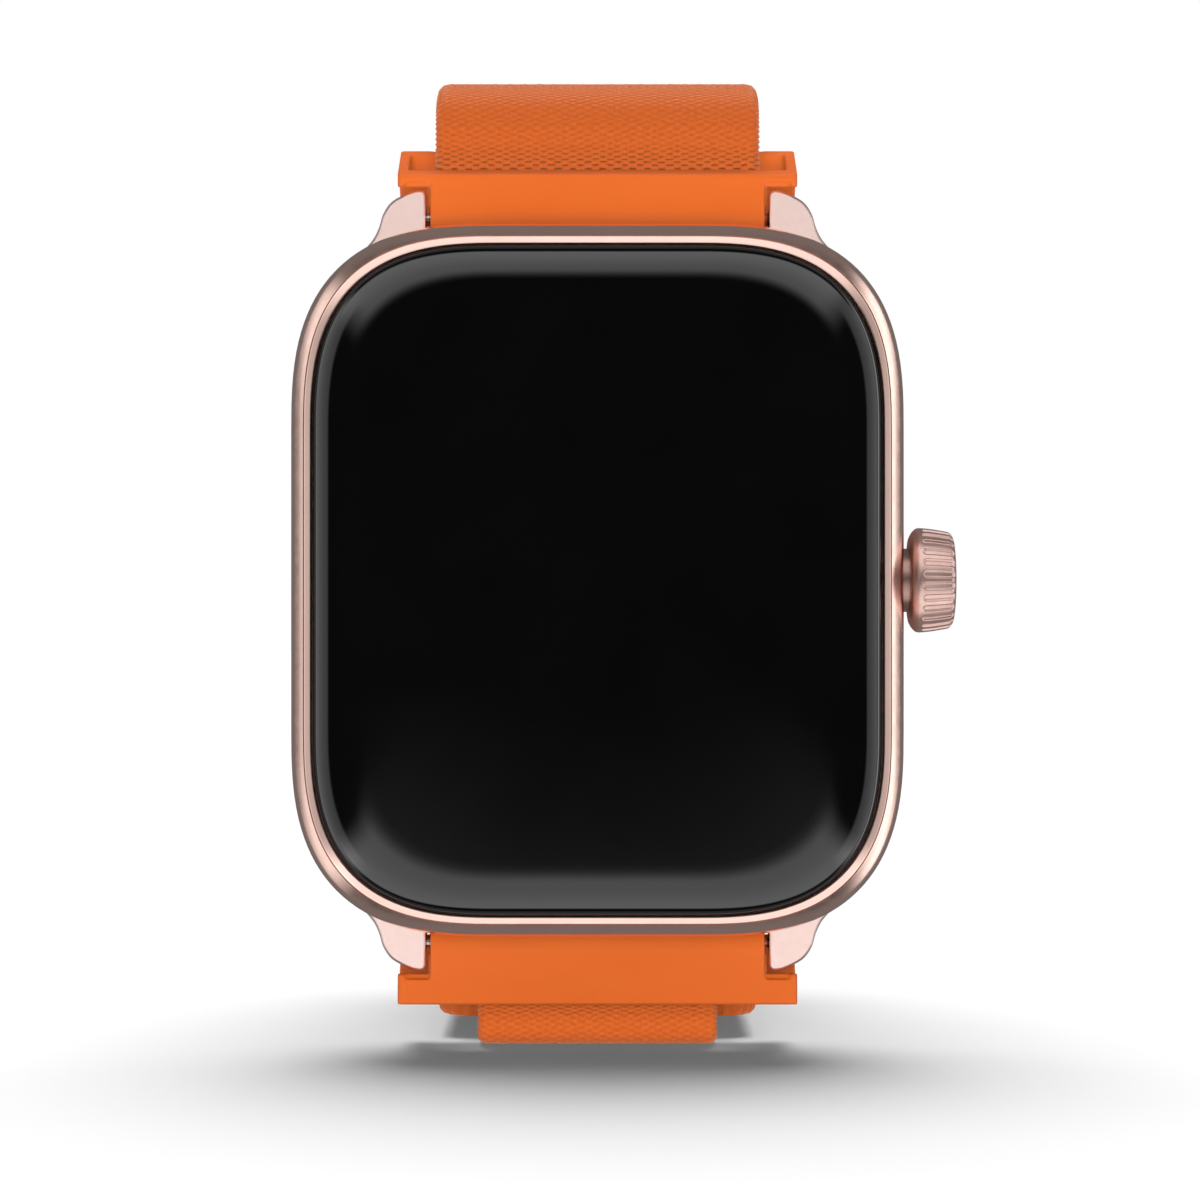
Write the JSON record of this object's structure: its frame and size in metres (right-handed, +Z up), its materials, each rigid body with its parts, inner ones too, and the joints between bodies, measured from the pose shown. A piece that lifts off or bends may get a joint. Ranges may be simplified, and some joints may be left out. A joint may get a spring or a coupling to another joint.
{
  "type": "gps running watch",
  "caption": "Square wrist watch with curved glass, fluted crown, optical sensor back and a woven loop strap on quick-release spring bars.",
  "frame": {"origin": "middle of the flat face of the folded strap under the case, on which the closed watch stands", "axes": "+X to the right of the dial, towards the crown; +Y from the glass towards the wrist; +Z up, towards the twelve o'clock side"},
  "size_m": [0.0393, 0.0488, 0.0586],
  "materials": {
    "rose_metal": "rose gold, satin to polished",
    "black_glass": "polished, black from inside",
    "display": "black, switched off",
    "seal": "matte",
    "black_plastic": "fine grain",
    "battery_foil": "foil pouch",
    "circuit_board": "solder mask",
    "steel": "polished",
    "gold": "plated",
    "ceramic": "matte",
    "led": "clear green",
    "photodiode": "dark glass",
    "orange_moulding": "satin moulded",
    "orange_weave": "woven nylon",
    "hook_tape": "moulded hooks"
  },
  "bodies": {
    "head": {"frame": "rose_metal", "cover_glass": "black_glass", "display_panel": "display", "glass_gasket": "seal", "inner_chassis": "black_plastic", "battery": "battery_foil", "main_board": "circuit_board", "shield_can": "steel", "gps_antenna": "ceramic", "haptic_motor": "steel", "sensor_board": "circuit_board", "sensor_led": "led", "photodiode_left": "photodiode", "photodiode_right": "photodiode", "sensor_window": "black_glass", "back_cover": "black_plastic", "back_gasket": "seal", "charge_contact_left": "gold", "charge_contact_right": "gold", "back_screw_1": "steel", "back_screw_2": "steel", "back_screw_3": "steel", "back_screw_4": "steel", "crown_tube": "steel", "crown_switch": "black_plastic"},
    "crown_slider": {"crown_carriage": "black_plastic"},
    "crown": {"crown_head": "rose_metal", "crown_shaft": "steel", "crown_o_ring": "seal", "crown_clip": "steel", "crown_magnet": "steel"},
    "upper_strap": {"upper_connector": "orange_moulding", "upper_bar_tube": "steel", "upper_fixed_pin": "steel", "upper_bar_spring": "steel", "strap_main": "orange_weave"},
    "upper_release": {"upper_release_pin": "steel"},
    "lower_strap": {"lower_connector": "orange_moulding", "lower_bar_tube": "steel", "lower_fixed_pin": "steel", "lower_bar_spring": "steel", "strap_tail": "orange_weave", "hook_patch": "hook_tape"},
    "lower_release": {"lower_release_pin": "steel"}
  },
  "joints": [
    {"name": "crown_press", "type": "slide", "parent": "head", "child": "crown_slider", "axis": [-1, 0, 0], "range_m": [0, 0.00028], "stiffness_N_per_m": 600, "springref_m": -0.0005},
    {"name": "crown_spin", "type": "hinge", "parent": "crown_slider", "child": "crown", "pos_m": [0.018, -0.01475, 0.02785], "axis": [1, 0, 0], "continuous": true},
    {"name": "upper_strap_hinge", "type": "hinge", "parent": "head", "child": "upper_strap", "pos_m": [0, -0.0126, 0.04945], "axis": [1, 0, 0], "range_deg": [0, 40]},
    {"name": "upper_bar_release", "type": "slide", "parent": "upper_strap", "child": "upper_release", "axis": [-1, 0, 0], "range_m": [0, 0.0014], "stiffness_N_per_m": 300, "springref_m": -0.001, "deforming": ["upper_bar_spring"]},
    {"name": "lower_strap_hinge", "type": "hinge", "parent": "head", "child": "lower_strap", "pos_m": [0, -0.0126, 0.00625], "axis": [1, 0, 0], "range_deg": [-40, 0]},
    {"name": "lower_bar_release", "type": "slide", "parent": "lower_strap", "child": "lower_release", "axis": [-1, 0, 0], "range_m": [0, 0.0014], "stiffness_N_per_m": 300, "springref_m": -0.001, "deforming": ["lower_bar_spring"]}
  ]
}
